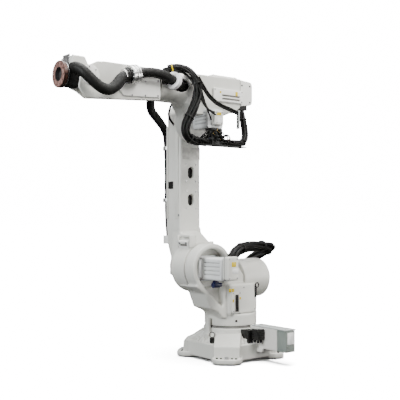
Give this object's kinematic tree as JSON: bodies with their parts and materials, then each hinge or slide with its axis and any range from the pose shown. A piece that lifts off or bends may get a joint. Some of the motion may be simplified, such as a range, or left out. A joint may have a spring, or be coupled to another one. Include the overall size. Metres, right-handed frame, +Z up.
{
  "type": "six-axis industrial robot arm",
  "caption": "Floor-standing articulated robot arm with a cast base, turning turret, lower arm, elbow housing, long forearm and a wrist with a round tool flange.",
  "frame": {"origin": "where axis 1, the turret's upright axis, meets the floor, under the middle of the four feet", "axes": "+Z up along axis 1, +X the way the forearm reaches at rest, +Y towards the side connection box"},
  "size_m": [2.2586, 1.1, 2.4436],
  "materials": {
    "white_paint": "warm light grey-white paint on cast iron and steel",
    "motor_paint": "cool light grey paint on cast aluminium",
    "sheet_grey": "grey painted sheet steel",
    "clamp_grey": "bare cast clamp rings",
    "dark_metal": "dark oiled steel and seals",
    "black_plastic": "black moulded plastic",
    "black_hose": "black hose and cable sheath",
    "blue_plastic": "dark blue moulded plug",
    "flange_steel": "machined flange with a rust-brown edge",
    "stop_rubber": "painted stop bracket"
  },
  "bodies": {
    "base": {"base_casting": "white_paint", "foot_pads": "dark_metal", "bearing_ring": "dark_metal", "stop_post": "white_paint", "side_box_cast": "white_paint", "side_box": "sheet_grey", "side_box_lid": "white_paint", "side_box_end": "sheet_grey", "base_connectors": "black_plastic", "strap_loop": "black_hose"},
    "turret": {"turret_casting": "white_paint", "service_panel": "white_paint", "shoulder_motor": "motor_paint", "shoulder_motor_box": "motor_paint", "motor_plug": "blue_plastic", "balancer": "white_paint", "rear_harness": "black_hose", "harness_gland": "black_plastic", "cable_hook": "black_plastic"},
    "lower_arm": {"lower_arm_casting": "white_paint", "arm_hubs": "dark_metal", "arm_end_cap": "white_paint", "arm_stop": "stop_rubber", "arm_clips": "clamp_grey", "arm_plate": "black_plastic", "hose_gland": "white_paint", "side_hose": "black_hose"},
    "upper_arm": {"elbow_housing": "white_paint", "rear_cover": "white_paint", "top_cover": "white_paint", "side_panel": "white_paint", "elbow_motor": "motor_paint", "elbow_motor_box": "motor_paint", "hose_ring": "clamp_grey", "elbow_bundle": "black_hose", "bundle_clip": "black_plastic", "connector_tray": "sheet_grey", "connector_block": "black_plastic", "rear_bundle": "black_hose", "rear_gland": "white_paint", "motor_leads": "black_hose", "lead_bracket": "sheet_grey", "upper_hose": "black_hose"},
    "forearm": {"forearm_casting": "white_paint", "forearm_sleeve": "dark_metal", "side_cover": "white_paint", "pivot_covers": "white_paint", "hose_clamp": "clamp_grey", "wrist_hose": "black_hose"},
    "wrist": {"wrist_casting": "white_paint", "wrist_neck": "dark_metal", "wrist_fin": "white_paint"},
    "flange": {"tool_flange": "flange_steel"}
  },
  "joints": [
    {"name": "axis_1", "type": "hinge", "parent": "base", "child": "turret", "pos_m": [0, 0, 0.3], "axis": [0, 0, 1], "range_deg": [-260, 80]},
    {"name": "axis_2", "type": "hinge", "parent": "turret", "child": "lower_arm", "pos_m": [0.32, 0, 0.78], "axis": [0, 1, 0], "range_deg": [-65, 85]},
    {"name": "axis_3", "type": "hinge", "parent": "lower_arm", "child": "upper_arm", "pos_m": [0.32, 0, 2.02], "axis": [0, -1, 0], "range_deg": [-70, 180], "deforming": ["side_hose"]},
    {"name": "axis_4", "type": "hinge", "parent": "upper_arm", "child": "forearm", "pos_m": [0.82, 0, 2.26], "axis": [1, 0, 0], "range_deg": [-300, 300], "deforming": ["upper_hose"]},
    {"name": "axis_5", "type": "hinge", "parent": "forearm", "child": "wrist", "pos_m": [1.4625, 0, 2.26], "axis": [0, 1, 0], "range_deg": [-120, 120], "deforming": ["wrist_hose"]},
    {"name": "axis_6", "type": "hinge", "parent": "wrist", "child": "flange", "pos_m": [1.6125, 0, 2.26], "axis": [1, 0, 0], "range_deg": [-360, 360]}
  ]
}
